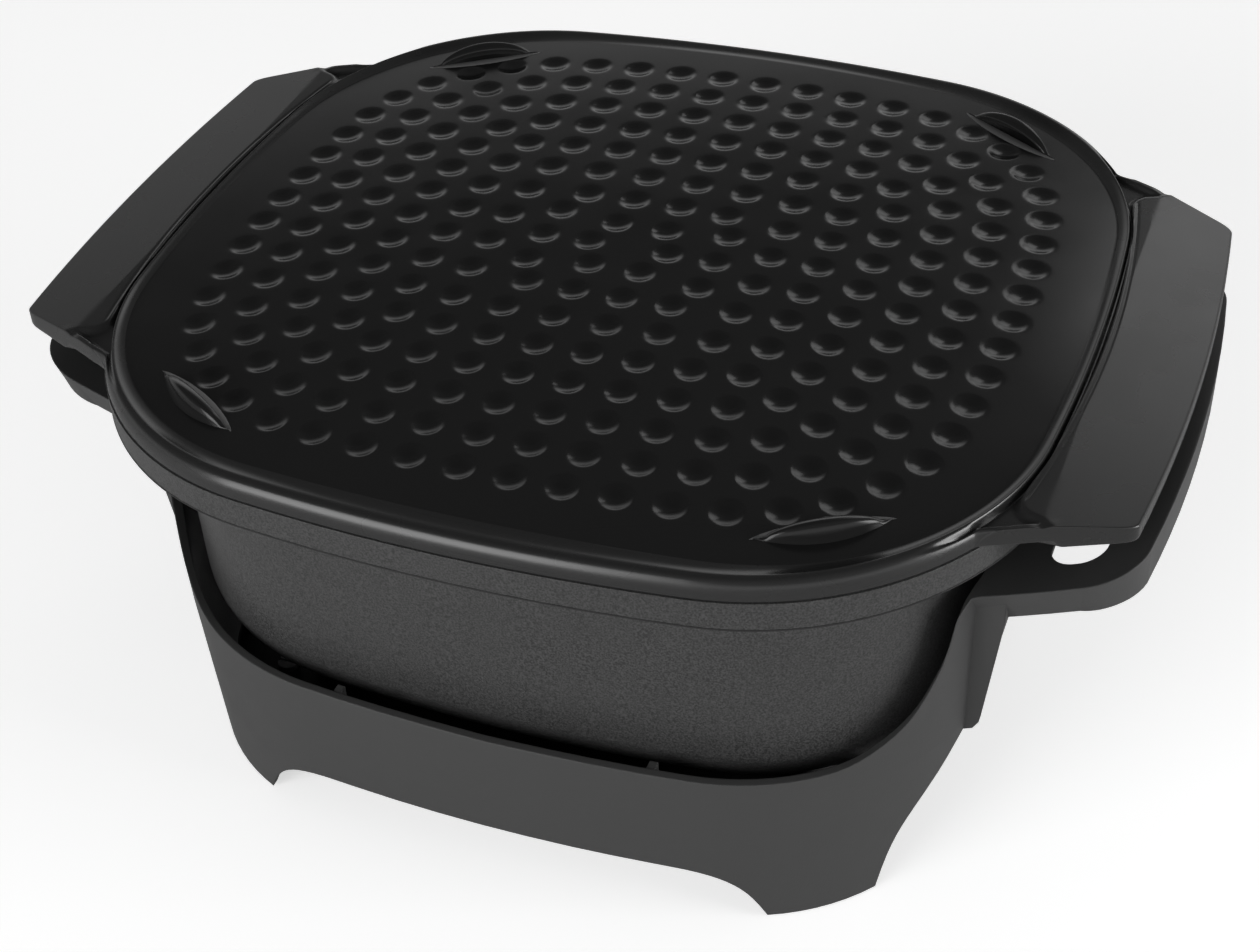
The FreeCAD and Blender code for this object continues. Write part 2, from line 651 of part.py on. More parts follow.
def lens(wide, high, deep, back):
    """Half-moon upright in the tip plane, as deep as a bowed plan allows, from back behind the plane."""
    mid, t, n, _ = vent_frame()
    r = segment_r(wide, high)
    upright = Part.makeCylinder(r, 40.0, mid + V(0, 0, high - r) - n * 20.0, n)
    r = segment_r(wide, deep)
    plan = Part.makeCylinder(r, 60.0, mid + n * (deep - r) - V(0, 0, 30.0))
    start = mid - n * back
    slab = Part.makeBox(80.0, 30.0, 60.0)
    slab.Placement = FreeCAD.Placement(start - t * 40.0 - V(0, 0, 30.0),
                                       FreeCAD.Rotation(t, n, V(0, 0, 1), "XYZ"))
    return upright.common(plan).common(slab)


def vent_parts():
    """Hood to add, and mouth with its steam slot to take away, in the corner where X and Y are positive."""
    mid, t, n, wide = vent_frame()
    hood = lens(wide, VENT_HIGH, VENT_DEEP, 0.0)
    hood = hood.cut(box(0, 300, 0, 300, 100.0, mid.z - 3.0))
    mouth = lens(VENT_MOUTH_WIDE, VENT_MOUTH_HIGH, VENT_DEEP - VENT_SKIN, 3.0)
    mouth = mouth.cut(box(0, 300, 0, 300, 100.0, mid.z - 0.2))
    length, gap = VENT_SLOT
    slot = Part.makeBox(length, gap, 30.0)
    slot.Placement = FreeCAD.Placement(mid - t * (length / 2) + n * 0.4 - V(0, 0, 26.0),
                                       FreeCAD.Rotation(t, n, V(0, 0, 1), "XYZ"))
    return hood, mouth.fuse(slot)


def wing_slab(drop, inside):
    """Side view of the right wing: sloping top, wall down past the pot's rim, or the hollow under it."""
    x0, xf, xe = WING_ROOT_X, RIM_X + 1.5, 220.0
    slope = (WING_ROOT_TOP - WING_TIP_TOP) / (WING_MID_X - xf)
    root, end = WING_ROOT_TOP - drop, WING_ROOT_TOP - slope * (xe - xf) - drop
    low_slope = (WING_TIP_LOW - WING_ROOT_LOW) / (WING_MID_X - xf)
    xi = RIM_X + WING_GAP
    low_i = WING_ROOT_LOW + low_slope * (xi - xf)
    low_e = WING_ROOT_LOW + low_slope * (xe - xf)
    if inside:
        xi += WING_SKIN
        side = [(xi, root - slope * (xi - xf)), (xe, end), (xe, low_e - 9.0), (xi, low_i - 9.0)]
    else:
        side = [(x0, root), (xf, root), (xe, end), (xe, low_e), (xi, low_i), (xi, LID_SEAT), (x0, LID_SEAT)]
    return face_of([(x, -150.0, z) for x, z in side]).extrude(V(0, 300.0, 0))


def wing_plan(inset):
    z = 130.0
    x0, xc, xm = WING_ROOT_X, WING_CORNER_X - inset, WING_MID_X - inset
    y1, y2 = WING_ROOT_HALF_Y - inset, WING_HALF_Y - inset

    def p(x, y):
        return V(x, y, z)

    edges = [Part.makeLine(p(x0, -y1), p(xc, -y2)),
             Part.Arc(p(xc, -y2), p(xm, 0), p(xc, y2)).toShape(),
             Part.makeLine(p(xc, y2), p(x0, y1)), Part.makeLine(p(x0, y1), p(x0, -y1))]
    plan = Part.Face(Part.Wire(edges)).extrude(V(0, 0, 60.0))
    tips = [e for e in plan.Edges if e.BoundBox.ZLength > 59.0 and e.BoundBox.XMin > xc - 1.0]
    return plan.makeFillet(6.0 - 0.5 * inset, tips)


def right_wing():
    """Hollow lifting wing that runs out of the lid's wall."""
    wing = wing_slab(0.0, False).common(wing_plan(0.0))
    return wing.cut(wing_slab(WING_SKIN, True).common(wing_plan(WING_SKIN)))


def lid():
    outer = -LID_INSET
    top = LID_BEAD
    edge = LID_EDGE_ROUND
    body = rim_prism(outer, LID_SEAT, LID_WALL_TOP)
    rise = top - LID_WALL_TOP
    bead = loft(rim(outer, LID_WALL_TOP), rim(outer - 0.13 * edge, LID_WALL_TOP + 0.5 * rise),
                rim(outer - 0.5 * edge, LID_WALL_TOP + 0.87 * rise), rim(outer - edge, top))
    body = merged([body, bead])
    body = body.cut(loft(crease(LID_CREASE), rim(outer - edge - 1.2, top + 0.01)))
    wing = right_wing().cut(crease_block(1.0))
    cap = prism(crease(LID_SEAT), 30.0).common(dome(0.0))
    body = body.fuse([cap, wing, mirror_x(wing)])
    hollow = prism(rim(-SEAT_WIDTH - LIP_GAP - LIP_WALL, LID_SEAT - 10.0), 40.0).common(dome(LID_SKIN))
    body = body.cut(hollow)
    lip = rim_prism(-SEAT_WIDTH - LIP_GAP, LID_SEAT - LIP_DEPTH, LID_SEAT + 0.5)
    lip = lip.cut(rim_prism(-SEAT_WIDTH - LIP_GAP - LIP_WALL, LID_SEAT - LIP_DEPTH - 1.0, LID_SEAT + 1.0))
    body = body.fuse(lip)
    hood, mouth = vent_parts()
    body = body.fuse(four(hood))
    r = segment_r(DIMPLE_DIA, DIMPLE_DEPTH)
    hollows, drips = [], []
    for x, y in dimple_points():
        centre = V(x, y, dome_height(x, y) + r - DIMPLE_DEPTH)
        hollows.append(Part.makeSphere(r, centre))
        drips.append(Part.makeSphere(r + LID_SKIN, centre))
    under = Part.makeCompound(drips).common(hollow)
    body = body.fuse(under.Solids)
    body = body.cut(Part.makeCompound(hollows))
    return body.cut(Part.makeCompound(four(mouth)))


def crease_block(d):
    return prism(crease(LID_SEAT - 1.0, d), 30.0)


def main():
    write("base_cradle", base_cradle())
    pads = four(rest_pad())
    feet = four(foot())
    for place, pad, stand in zip(("right_back", "left_back", "right_front", "left_front"), pads, feet):
        write("rest_pad_" + place, pad)
        write("foot_" + place, stand)
    write("heat_shield", heat_shield())
    x, y = diagonal(SCREW_AT)
    one = screw(x, y, ARM_LEVEL + SHIELD_THICK, 9.0, SCREW_R - CLEAR, SCREW_HEAD_R, SCREW_HEAD)
    write("shield_screws", Part.makeCompound(four(one)))
    write("pot", pot())
    write("heating_element", element())
    for s, place in ((1, "back"), (-1, "front")):
        write("terminal_pin_" + place, terminal_pin(s))
        write("ceramic_bush_" + place, bush(s))
    write("sensor_well", sensor_well())
    write("socket_guard", socket_guard())
    write("guard_screws", Part.makeCompound([guard_screw(1), guard_screw(-1)]))
    write("earth_contact", earth_contact())
    write("lid", lid())


main()
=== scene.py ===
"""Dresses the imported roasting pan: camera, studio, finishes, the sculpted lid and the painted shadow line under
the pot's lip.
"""
import json
import math

import bmesh
import bpy
import numpy as np
from mathutils import Matrix, Vector


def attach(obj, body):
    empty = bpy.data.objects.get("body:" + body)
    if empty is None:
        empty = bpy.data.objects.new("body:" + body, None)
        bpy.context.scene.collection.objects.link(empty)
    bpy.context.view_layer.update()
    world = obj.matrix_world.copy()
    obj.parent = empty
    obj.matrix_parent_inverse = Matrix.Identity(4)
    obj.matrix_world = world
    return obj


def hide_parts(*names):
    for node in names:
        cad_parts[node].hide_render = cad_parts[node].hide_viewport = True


MM = 0.001

# Camera: focal length in pixels of a 1260 px wide image, angles in degrees, the rest in metres
IMAGE_WIDTH = 1260.0
FOCAL_PX = 2244.0
SENSOR_WIDTH = 36.0
CAMERA_AZIMUTH = 23.33
CAMERA_ELEVATION = 39.24
CAMERA_ROLL = -3.79
CAMERA_SIDE = 0.0004
CAMERA_RISE = -0.0814
CAMERA_DISTANCE = 0.8225
AIM_HEIGHT = 0.1695

# Studio: metres and watts; a sky stop is a height of the ray's direction and its level
FLOOR_SIZE = 8.0
FLOOR_COLOUR = (0.8, 0.8, 0.8, 1.0)
FLOOR_ROUGHNESS = 0.9
FLOOR_GLOW = 0.6
SKY_STOPS = ((0.0, 1.0), (0.28, 0.88), (0.38, 0.28), (0.5, 0.1), (0.7, 0.16), (1.0, 0.06))
SKY_STRENGTH = 1.05
LEFT_DIM_FROM, LEFT_DIM_TO = -0.8, -0.1
LEFT_DIM_LEVEL = 0.55
WHITE = (1.0, 1.0, 1.0, 1.0)
BLACK = (0.0, 0.0, 0.0, 1.0)
LAMPS = (
    ("back_right", (0.36, 1.7, 1.15), (0.0, 0.0, 0.15), 0.6, 1.7),
    ("front_soft", (-0.85, -1.8, 0.65), (0.0, 0.0, 0.08), 1.3, 27.0),
    ("right_strip", (1.7, 0.0, 0.35), (0.0, 0.0, 0.1), 0.8, 17.0),
)

# Finishes: grain and bevel in metres
GRAIN_DETAIL = 3.0
GRAIN_BAND = (0.35, 0.65)
BROAD_SCALE = 30.0
BROAD_DETAIL = 4.0
BROAD_BAND = (0.3, 0.7)
LEAST_ROUGHNESS = 0.02
BEVEL_SAMPLES = 4
BRASS = (0.6, 0.42, 0.18, 1.0)

# Lid: millimetres from the middle of the pan; an inset or a distance from the rim's outline is negative inwards
RIM = (177.0, 165.0, 108.0, 700.0, 760.0)
CREASE_INSET = (7.5, 11.2)
CREST_INSET = (4.4, 4.9)
BEAD_IN = -4.4
BEAD_POWER = 2.2
GROOVE_AT = -2.7
GROOVE_WIDTH = 0.75
GROOVE_DEPTH = 2.4
GROOVE_FADE_Y = 128.0
RIM_EDGE = -0.5
SEAT = 160.0
CREST_TOP = 167.7
CREASE_SAG = 0.35
RIM_TOP = 160.9
RIM_DROP = 0.2
DOME_TOP = 172.8
DOME_R = 2400.0
SKIN = 3.6

# Dimples: rings of equal pitch, laid out in a square and then narrowed along Y
RING_COUNTS = (54, 46, 40, 34, 28, 20, 14, 6)
RING_HALF = 142.7
RING_PITCH = 18.2
RING_CORNER = 79.0
LEAST_CORNER = 1.5
RING_BOW = 660.0
RING_Y_SCALE = 0.9235
DIMPLE_DIA = 12.0
DIMPLE_DEPTH = 1.5
DIMPLE_SOFT = 0.03
DIMPLE_RISE = 0.01

# Wings: the groove's floor, the plateau, its ridge and valley (height, place, width), and the outer lip
GROOVE_FLOOR = 164.2
WING_TOP = 166.2
WING_TOP_SPARE = 0.3
WING_SLOPE = 0.14
WING_FALL_X = 178.5
WING_SKIN = 3.2
WING_ROOT = (158.0, 109.4)
WING_CORNER = (203.4, 88.7)
WING_MID_X = 208.5
WING_EDGE_BLEND = 5.0
PLATEAU_X = 174.7
PLATEAU_BOW = 0.00105
PLATEAU_END_Y = 96.5
PLATEAU_END_SLOPE = 0.35
PLATEAU_END_X = (168.5, 184.0)
PLATEAU_END_STEP = (2.0, 174.0, 182.0)
PLATEAU_CORNER = 7.0
PLATEAU_FLANK = (-0.3, 1.0)
FLANK_SOFT = (1.5, -9.0, -3.0)
RIDGE = (0.3, 1.4, 0.55)
VALLEY = (0.3, 2.7, 0.4)
TRIM_FADE = (4.0, 10.0)
LIP_RISE = 2.1
LIP_LEAN = 0.415
LIP_BAND = (-3.6, -1.4)
LIP_Y = (86.0, 94.0)
LIP_X = (-182.0, -172.0)
WING_START = (1.5, 7.0)
WING_LOW = 157.2
WING_LOW_SLOPE = 0.023
WING_LOW_FROM = (179.0, 182.0)
WING_WALL_X = (178.6, 181.8)
WING_LEAST_WALL = 0.7
ROOF_BLEND = 4.0
EDGE_ROUND = 0.9
EDGE_ANGLES = (18.0, 36.0, 54.0, 72.0, 90.0)
FOOT_ROUND = ((0.12, 0.12), (0.4, 0.0))
FOOT_RISE = 0.4

# Underside, as distances from the rim's outline: the flat, the seat and the lip that drops into the pot
FLAT_AT = -1.4
SEAT_IN = -3.0
LIP_OUT, LIP_IN = -14.9, -18.3
LIP_DROP = 5.0

# Mesh of the lid: samples round the rim, rings, and how many samples a ring skips below each share of the way out
RING_SAMPLES = 1600
PLATE_RINGS, UNDER_RINGS = 178, 90
PLATE_REACH, UNDER_REACH = (0.006, 1.0), (0.985, 0.012)
PLATE_SKIPS = ((0.2, 8), (0.4, 4), (0.75, 2), (math.inf, 1))
UNDER_SKIPS = ((0.3, 8), (0.7, 4), (math.inf, 2))
CREST_STEPS, FLANK_STEPS = 6, 8
FLANK_BAND = (0.15, 0.8)
RIM_STEPS = 44
FINE_STEPS = 20
FINE_STEP = 0.35
FINE_RUN = 7.0
FINE_LEAST = 10.0
WALL_SHARES = (0.33, 0.66, 1.0)
PLATE, RIM_SKIN = 0, 1
WELD = 1e-6
SHARP_ANGLE = 50.0

# Painted shadow line under the pot's lip, a dark strip standing in for the shade of the gap there: samples round
# the pot, and its section as distance from the rim's outline and height
SHADOW_LINE_SAMPLES = 800
SHADOW_LINE_PROFILE = ((-0.8, 149.3), (0.1, 149.25), (0.1, 148.65), (-0.8, 148.6))

# Vents: tips of the plan, heights and depths in millimetres, profiles as shares of depth and height
VENT_TIPS = ((131.5, 112.1), (93.1, 134.9))
VENT_PLACES = (("right_back", 1, 1), ("right_front", 1, -1), ("left_back", -1, 1), ("left_front", -1, -1))
VENT_COLUMNS = 48
VENT_HIGH = 6.2
VENT_TIP_HIGH = 0.5
VENT_DEEP = 6.2
VENT_TIP_DEEP = 0.05
VENT_SINK = 0.1
VENT_ARCH_SPREAD, VENT_ARCH_POWER = 0.08, 0.7
VENT_MOUTH = (34.0, 4.9)
VENT_MOUTH_SHARE, VENT_MOUTH_POWER = 0.86, 0.65
VENT_PROFILE = ((0.0, 0.82), (0.12, 0.9), (0.25, 0.97), (0.4, 1.03), (0.55, 1.05), (0.67, 1.0), (0.78, 0.84),
                (0.87, 0.6), (0.94, 0.32), (1.0, 0.0))
VENT_INSIDE = ((0.3, 0.95), (0.6, 0.75), (0.72, 0.3), (0.74, 0.0))
VENT_LIP = (-0.2, 0.82, 0.35, 0.05)
VENT_FRAME = -0.25
APRON_WIDE = 1.06
APRON_DEEP, APRON_POWER = 4.0, 0.8
APRON_HIGH = 0.3
APRON_EDGE = 0.2
APRON_BACK = 0.1
VENT_SHARP_ANGLE = 60.0
# mark 2 is the apron in front of the vent's mouth, in a light grey that is painted reflection
VENT_SKIN, VENT_DARK, VENT_APRON_SHEEN = 0, 1, 2

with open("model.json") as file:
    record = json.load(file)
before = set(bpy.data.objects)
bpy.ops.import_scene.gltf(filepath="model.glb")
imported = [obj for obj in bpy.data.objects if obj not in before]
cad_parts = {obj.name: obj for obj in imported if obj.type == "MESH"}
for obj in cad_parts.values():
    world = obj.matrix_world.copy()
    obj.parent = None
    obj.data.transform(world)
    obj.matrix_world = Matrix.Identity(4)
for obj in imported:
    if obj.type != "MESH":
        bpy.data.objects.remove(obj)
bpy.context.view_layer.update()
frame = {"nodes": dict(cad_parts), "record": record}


def srgb(level):
    """Linear value of an 8-bit display level."""
    v = level / 255.0
    return v / 12.92 if v <= 0.04045 else ((v + 0.055) / 1.055) ** 2.4


def grey(level):
    v = srgb(level)
    return (v, v, v, 1.0)


def add_camera():
    az, el, roll = (math.radians(a) for a in (CAMERA_AZIMUTH, CAMERA_ELEVATION, CAMERA_ROLL))
    back = Vector((math.sin(az) * math.cos(el), -math.cos(az) * math.cos(el), math.sin(el)))
    side = Vector((math.cos(az), math.sin(az), 0.0))
    rise = back.cross(side)
    right = side * math.cos(roll) + rise * math.sin(roll)
    up = rise * math.cos(roll) - side * math.sin(roll)
    data = bpy.data.cameras.new("camera")
    data.sensor_width = SENSOR_WIDTH
    data.lens = FOCAL_PX / IMAGE_WIDTH * data.sensor_width
    camera = bpy.data.objects.new("camera", data)
    bpy.context.scene.collection.objects.link(camera)
    matrix = Matrix((right, up, back)).transposed().to_4x4()
    aim = Vector((0.0, 0.0, AIM_HEIGHT))
    matrix.translation = back * CAMERA_DISTANCE + right * CAMERA_SIDE + up * CAMERA_RISE + aim
    camera.matrix_world = matrix
    bpy.context.scene.camera = camera


class Nodes:
    """Short calls for building one node tree."""

    def __init__(self, tree):
        self.tree = tree

    def new(self, kind, **sockets):
        """Adds a node; a socket's name is given with _ for each space."""
        node = self.tree.nodes.new(kind)
        for key, value in sockets.items():
            node.inputs[key.replace("_", " ")].default_value = value
        return node

    def link(self, out, into):
        self.tree.links.new(out, into)

    def mix_colour(self, first, factor):
        """Colour mix that starts from a fixed colour; its socket B is left to the caller."""
        mix = self.new("ShaderNodeMix")
        mix.data_type = "RGBA"
        mix.inputs["A"].default_value = first
        self.link(factor, mix.inputs["Factor"])
        return mix

    def show_camera(self, plain, shown, out):
        """Shows the second shader to camera rays and the first to all other rays."""
        path = self.new("ShaderNodeLightPath")
        mix = self.new("ShaderNodeMixShader")
        self.link(path.outputs["Is Camera Ray"], mix.inputs["Fac"])
        self.link(plain, mix.inputs[1])
        self.link(shown, mix.inputs[2])
        self.link(mix.outputs["Shader"], out.inputs["Surface"])


def scaled(colour, share):
    return tuple(min(1.0, c * share) for c in colour[:3]) + (1.0,)


def material(name, base, roughness, metallic=0.0, specular=0.5, grain=0.0, grain_scale=800.0,
             grain_colour=0.0, rough_spread=0.0, bevel=0.0):
    """Principled finish with fine grain in its bump and colour, and a broad spread in its roughness."""
    mat = bpy.data.materials.new(name)
    mat.use_nodes = True
    n = Nodes(mat.node_tree)
    bsdf = mat.node_tree.nodes["Principled BSDF"]
    bsdf.inputs["Base Color"].default_value = base
    bsdf.inputs["Roughness"].default_value = roughness
    bsdf.inputs["Metallic"].default_value = metallic
    bsdf.inputs["Specular IOR Level"].default_value = specular
    place = n.new("ShaderNodeTexCoord")
    fine = n.new("ShaderNodeTexNoise", Scale=grain_scale, Detail=GRAIN_DETAIL)
    n.link(place.outputs["Object"], fine.inputs["Vector"])
    if grain_colour:
        ramp = n.new("ShaderNodeMapRange", From_Min=GRAIN_BAND[0], From_Max=GRAIN_BAND[1])
        n.link(fine.outputs["Fac"], ramp.inputs["Value"])
        mix = n.mix_colour(scaled(base, 1.0 - grain_colour), ramp.outputs["Result"])
        mix.inputs["B"].default_value = scaled(base, 1.0 + grain_colour)
        n.link(mix.outputs["Result"], bsdf.inputs["Base Color"])
    if rough_spread:
        broad = n.new("ShaderNodeTexNoise", Scale=BROAD_SCALE, Detail=BROAD_DETAIL)
        n.link(place.outputs["Object"], broad.inputs["Vector"])
        spread = n.new("ShaderNodeMapRange", From_Min=BROAD_BAND[0], From_Max=BROAD_BAND[1],
                       To_Min=max(LEAST_ROUGHNESS, roughness - rough_spread),
                       To_Max=min(1.0, roughness + rough_spread))
        n.link(broad.outputs["Fac"], spread.inputs["Value"])
        n.link(spread.outputs["Result"], bsdf.inputs["Roughness"])
    if grain:
        bump = n.new("ShaderNodeBump", Strength=1.0, Distance=grain)
        n.link(fine.outputs["Fac"], bump.inputs["Height"])
        n.link(bump.outputs["Normal"], bsdf.inputs["Normal"])
        if bevel:
            edge = n.new("ShaderNodeBevel", Radius=bevel)
            edge.samples = BEVEL_SAMPLES
            n.link(edge.outputs["Normal"], bump.inputs["Normal"])
    return mat


def finishes():
    rows = {
        "base_plastic": (grey(60), 0.5, dict(grain=0.00004, grain_scale=1500.0, rough_spread=0.05, bevel=0.001)),
        # heat shield under the pot, made near-black so that it also stands in for the shade in the gap beside the
        # pot under the left handle: partly painted shade
        "shield_sheet": (grey(16), 0.6, dict(grain=0.00005)),
        "screw_steel": (grey(180), 0.35, dict(metallic=1.0, rough_spread=0.08)),
        "foot_rubber": (grey(24), 0.75, dict(grain=0.00008)),
        "pad_silicone": (grey(30), 0.6, dict(grain=0.00004)),
        "pot_casting": (grey(56), 0.4, dict(grain=0.00008, grain_scale=1400.0, grain_colour=0.5,
                                            rough_spread=0.04, bevel=0.0004)),
        "element_tube": (grey(150), 0.4, dict(metallic=1.0, rough_spread=0.1)),
        "pin_plating": (grey(215), 0.15, dict(metallic=1.0, rough_spread=0.04)),
        "bush_ceramic": (grey(225), 0.5, dict(grain=0.00003)),
        "guard_plastic": (grey(34), 0.55, dict(grain=0.00005)),
        "contact_spring": (BRASS, 0.3, dict(metallic=1.0, rough_spread=0.08)),
        "lid_enamel": (grey(28), 0.2, dict(specular=0.3, rough_spread=0.03)),
        "lid_rim": (grey(36), 0.27, dict(specular=0.5, rough_spread=0.03)),
        # painted shadow: dark finish of the strip under the pot's lip, standing in for the shade in the gap there
        "painted_lip_shadow": (grey(26), 0.6, dict(grain=0.00003, grain_scale=1500.0)),
        "vent_dark": (grey(34), 0.4, dict(grain=0.00003, grain_scale=1500.0)),
        # painted reflection: light grey of the vent's apron, standing in for the front light mirrored on the
        # strip in front of the mouth
        "vent_apron_painted_sheen": (grey(84), 0.45, dict(grain=0.00001, grain_scale=1500.0)),
    }
    return {name: material(name, base, roughness, **rest) for name, (base, roughness, rest) in rows.items()}


def smoothstep(v, low=0.0, high=1.0):
    t = np.clip((v - low) / (high - low), 0.0, 1.0)
    return t * t * (3.0 - 2.0 * t)


def smooth_min(a, b, width):
    h = np.clip(width - np.abs(a - b), 0.0, None) / width
    return np.minimum(a, b) - h * h * width * 0.25


def hump(v, row):
    """Bell of a height, place and width."""
    height, place, width = row
    return height * np.exp(-((v - place) / width) ** 2)


def corner_of(hx, hy, rc, front, side):
    """Centre of the corner arc and its tangent angles, between a bowed front and a bowed side."""
    c1, c2 = (0.0, hy - front), (hx - side, 0.0)
    r1, r2 = front - rc, side - rc
    dx, dy = c2[0] - c1[0], c2[1] - c1[1]
    d = math.hypot(dx, dy)
    a = (r1 * r1 - r2 * r2 + d * d) / (2.0 * d)
    h = math.sqrt(max(r1 * r1 - a * a, 0.0))
    mx, my = c1[0] + a * dx / d, c1[1] + a * dy / d
    cx, cy = max(((mx + h * dy / d, my - h * dx / d), (mx - h * dy / d, my + h * dx / d)), key=sum)
    return (cx, cy), math.atan2(cy - c1[1], cx - c1[0]), math.atan2(cy - c2[1], cx - c2[0])


def quarter_arcs(hx, hy, rc, front, side):
    """Arcs of a quarter outline as centre, radius, start and end, from the front's middle to the side's."""
    centre, a1, a2 = corner_of(hx, hy, rc, front, side)
    return [((0.0, hy - front), front, math.pi / 2, a1), (centre, rc, a1, a2), ((hx - side, 0.0), side, a2, 0.0)]


def length_of(arcs):
    return sum(r * (start - end) for _, r, start, end in arcs)


def along_arcs(arcs, run):
    """Arc centre, radius and angle at a distance along a quarter outline."""
    for centre, r, start, end in arcs:
        if run <= r * (start - end) + 1e-9:
            break
        run -= r * (start - end)
    return centre, r, start - run / r


def dimple_points():
    """Centres of the dimples, ring by ring."""
    points = []
    for k, count in enumerate(RING_COUNTS):
        half, bow = RING_HALF - k * RING_PITCH, RING_BOW - k * RING_PITCH
        arcs = quarter_arcs(half, half, max(RING_CORNER - k * RING_PITCH, LEAST_CORNER), bow, bow)
        quarter = length_of(arcs)
        for i in range(count):
            run = (i + 0.5) * 4.0 * quarter / count
            (ox, oy), r, a = along_arcs(arcs, run % quarter)
            x, y = ox + r * math.cos(a), oy + r * math.sin(a)
            for _ in range(int(run // quarter)):
                x, y = y, -x
            points.append((x, y * RING_Y_SCALE))
    return np.array(points)


class RimOutline:
    """Samples round the rim the lid shares with the pot, each with its arc's centre, radius and direction."""

    def __init__(self, count):
        arcs = quarter_arcs(*RIM)
        quarter = length_of(arcs)
        n = count // 4
        rows = [along_arcs(arcs, (i + 0.5) * quarter / n) for i in range(n)]
        c = np.array([row[0] for row in rows])
        r = np.array([row[1] for row in rows])
        u = np.array([(math.cos(row[2]), math.sin(row[2])) for row in rows])
        flips = ((1, 1, False), (1, -1, True), (-1, -1, False), (-1, 1, True))
        self.c = np.concatenate([(c * (sx, sy))[::-1] if rev else c * (sx, sy) for sx, sy, rev in flips])
        self.u = np.concatenate([(u * (sx, sy))[::-1] if rev else u * (sx, sy) for sx, sy, rev in flips])
        self.r = np.concatenate([r[::-1] if rev else r for _, _, rev in flips])

    def at(self, d):
        """Points at a distance outside the outline, the same for all samples or one for each."""
        d = np.broadcast_to(d, self.r.shape)
        return self.c + self.u * (self.r + d)[:, None]

    def inset(self, pair):
        """Distances for at(), between an inset at the sides and one at the front and back."""
        return -(pair[0] * self.u[:, 0] ** 2 + pair[1] * self.u[:, 1] ** 2)


def finish_mesh(mesh, name, materials, marks, angle):
    """Gives a mesh its finishes, welds it, turns its faces outwards and links it as a piece."""
    for mat in materials:
        mesh.materials.append(mat)
    mesh.polygons.foreach_set("material_index", marks)
    work = bmesh.new()
    work.from_mesh(mesh)
    bmesh.ops.remove_doubles(work, verts=work.verts, dist=WELD)
    bmesh.ops.recalc_face_normals(work, faces=work.faces)
    work.to_mesh(mesh)
    work.free()
    mesh.shade_smooth()
    mesh.set_sharp_from_angle(angle=math.radians(angle))
    piece = bpy.data.objects.new(name, mesh)
    bpy.context.scene.collection.objects.link(piece)
    return piece


class Grid:
    """Closed skin made of rings, each as long as the one before, half as long or twice as long."""

    def __init__(self):
        self.points, self.faces, self.marks, self.last = [], [], [], None
        self.total = 0

    def ring(self, xy, z, mark=PLATE):
        ring = np.column_stack([xy, np.broadcast_to(z, (len(xy),))])
        start = self.total
        self.points.append(ring)
        self.total += len(ring)
        if self.last is not None:
            first, count = self.last
            i = np.arange(min(count, len(ring)))
            j = (i + 1) % len(i)
            if count == len(ring):
                kinds = [(first + i, first + j, start + j, start + i)]
            else:
                few, fine = (start, first) if count > len(ring) else (first, start)
                a, b, c = 2 * i, 2 * i + 1, (2 * i + 2) % (2 * len(i))
                kinds = [(fine + a, fine + b, few + i), (fine + b, fine + c, few + j),
                         (fine + b, few + j, few + i)]
            for kind in kinds:
                self.faces += np.column_stack(kind).tolist()
                self.marks += [mark] * len(i)
        self.last = (start, len(ring))

    def cap(self, index, mark):
        """Closes the first or the last ring."""
        first = 0 if index == 0 else self.last[0]
        self.faces.append(list(range(first, first + len(self.points[index]))))
        self.marks.append(mark)

    def build(self, name, materials):
        mesh = bpy.data.meshes.new(name)
        mesh.from_pydata((np.concatenate(self.points) * MM).tolist(), [], self.faces)
        return finish_mesh(mesh, name, materials, self.marks, SHARP_ANGLE)


def plate_height(xy, dimples, thick=0.0):
    """Dome with its soft-rimmed dimples; the dimples of the underside are wider by the skin."""
    x, y = xy[:, 0], xy[:, 1]
    z = DOME_TOP - DOME_R + np.sqrt(DOME_R ** 2 - x * x - y * y)
    r = (DIMPLE_DIA ** 2 / 4.0 + DIMPLE_DEPTH ** 2) / (2.0 * DIMPLE_DEPTH)
    near = np.full(len(xy), 1e6)
    for px, py in dimples:
        near = np.minimum(near, (x - px) ** 2 + (y - py) ** 2)
    cap = np.sqrt(np.clip((r + thick) ** 2 - near, 0.01, None)) - (r - DIMPLE_DEPTH) - thick
    return z - (0.5 * (cap + np.sqrt(cap * cap + DIMPLE_SOFT)) - DIMPLE_RISE)


def wing_edge(y, inset=0.0):
    """How far out the right wing reaches at each y."""
    y = np.abs(y)
    slope = (WING_CORNER[0] - WING_ROOT[0]) / (WING_ROOT[1] - WING_CORNER[1])
    line = WING_ROOT[0] + slope * (WING_ROOT[1] - y) - inset * math.hypot(1.0, slope)
    bow = WING_MID_X - (WING_MID_X - WING_CORNER[0]) * (y / WING_CORNER[1]) ** 2 - inset
    return smooth_min(line, bow, WING_EDGE_BLEND)


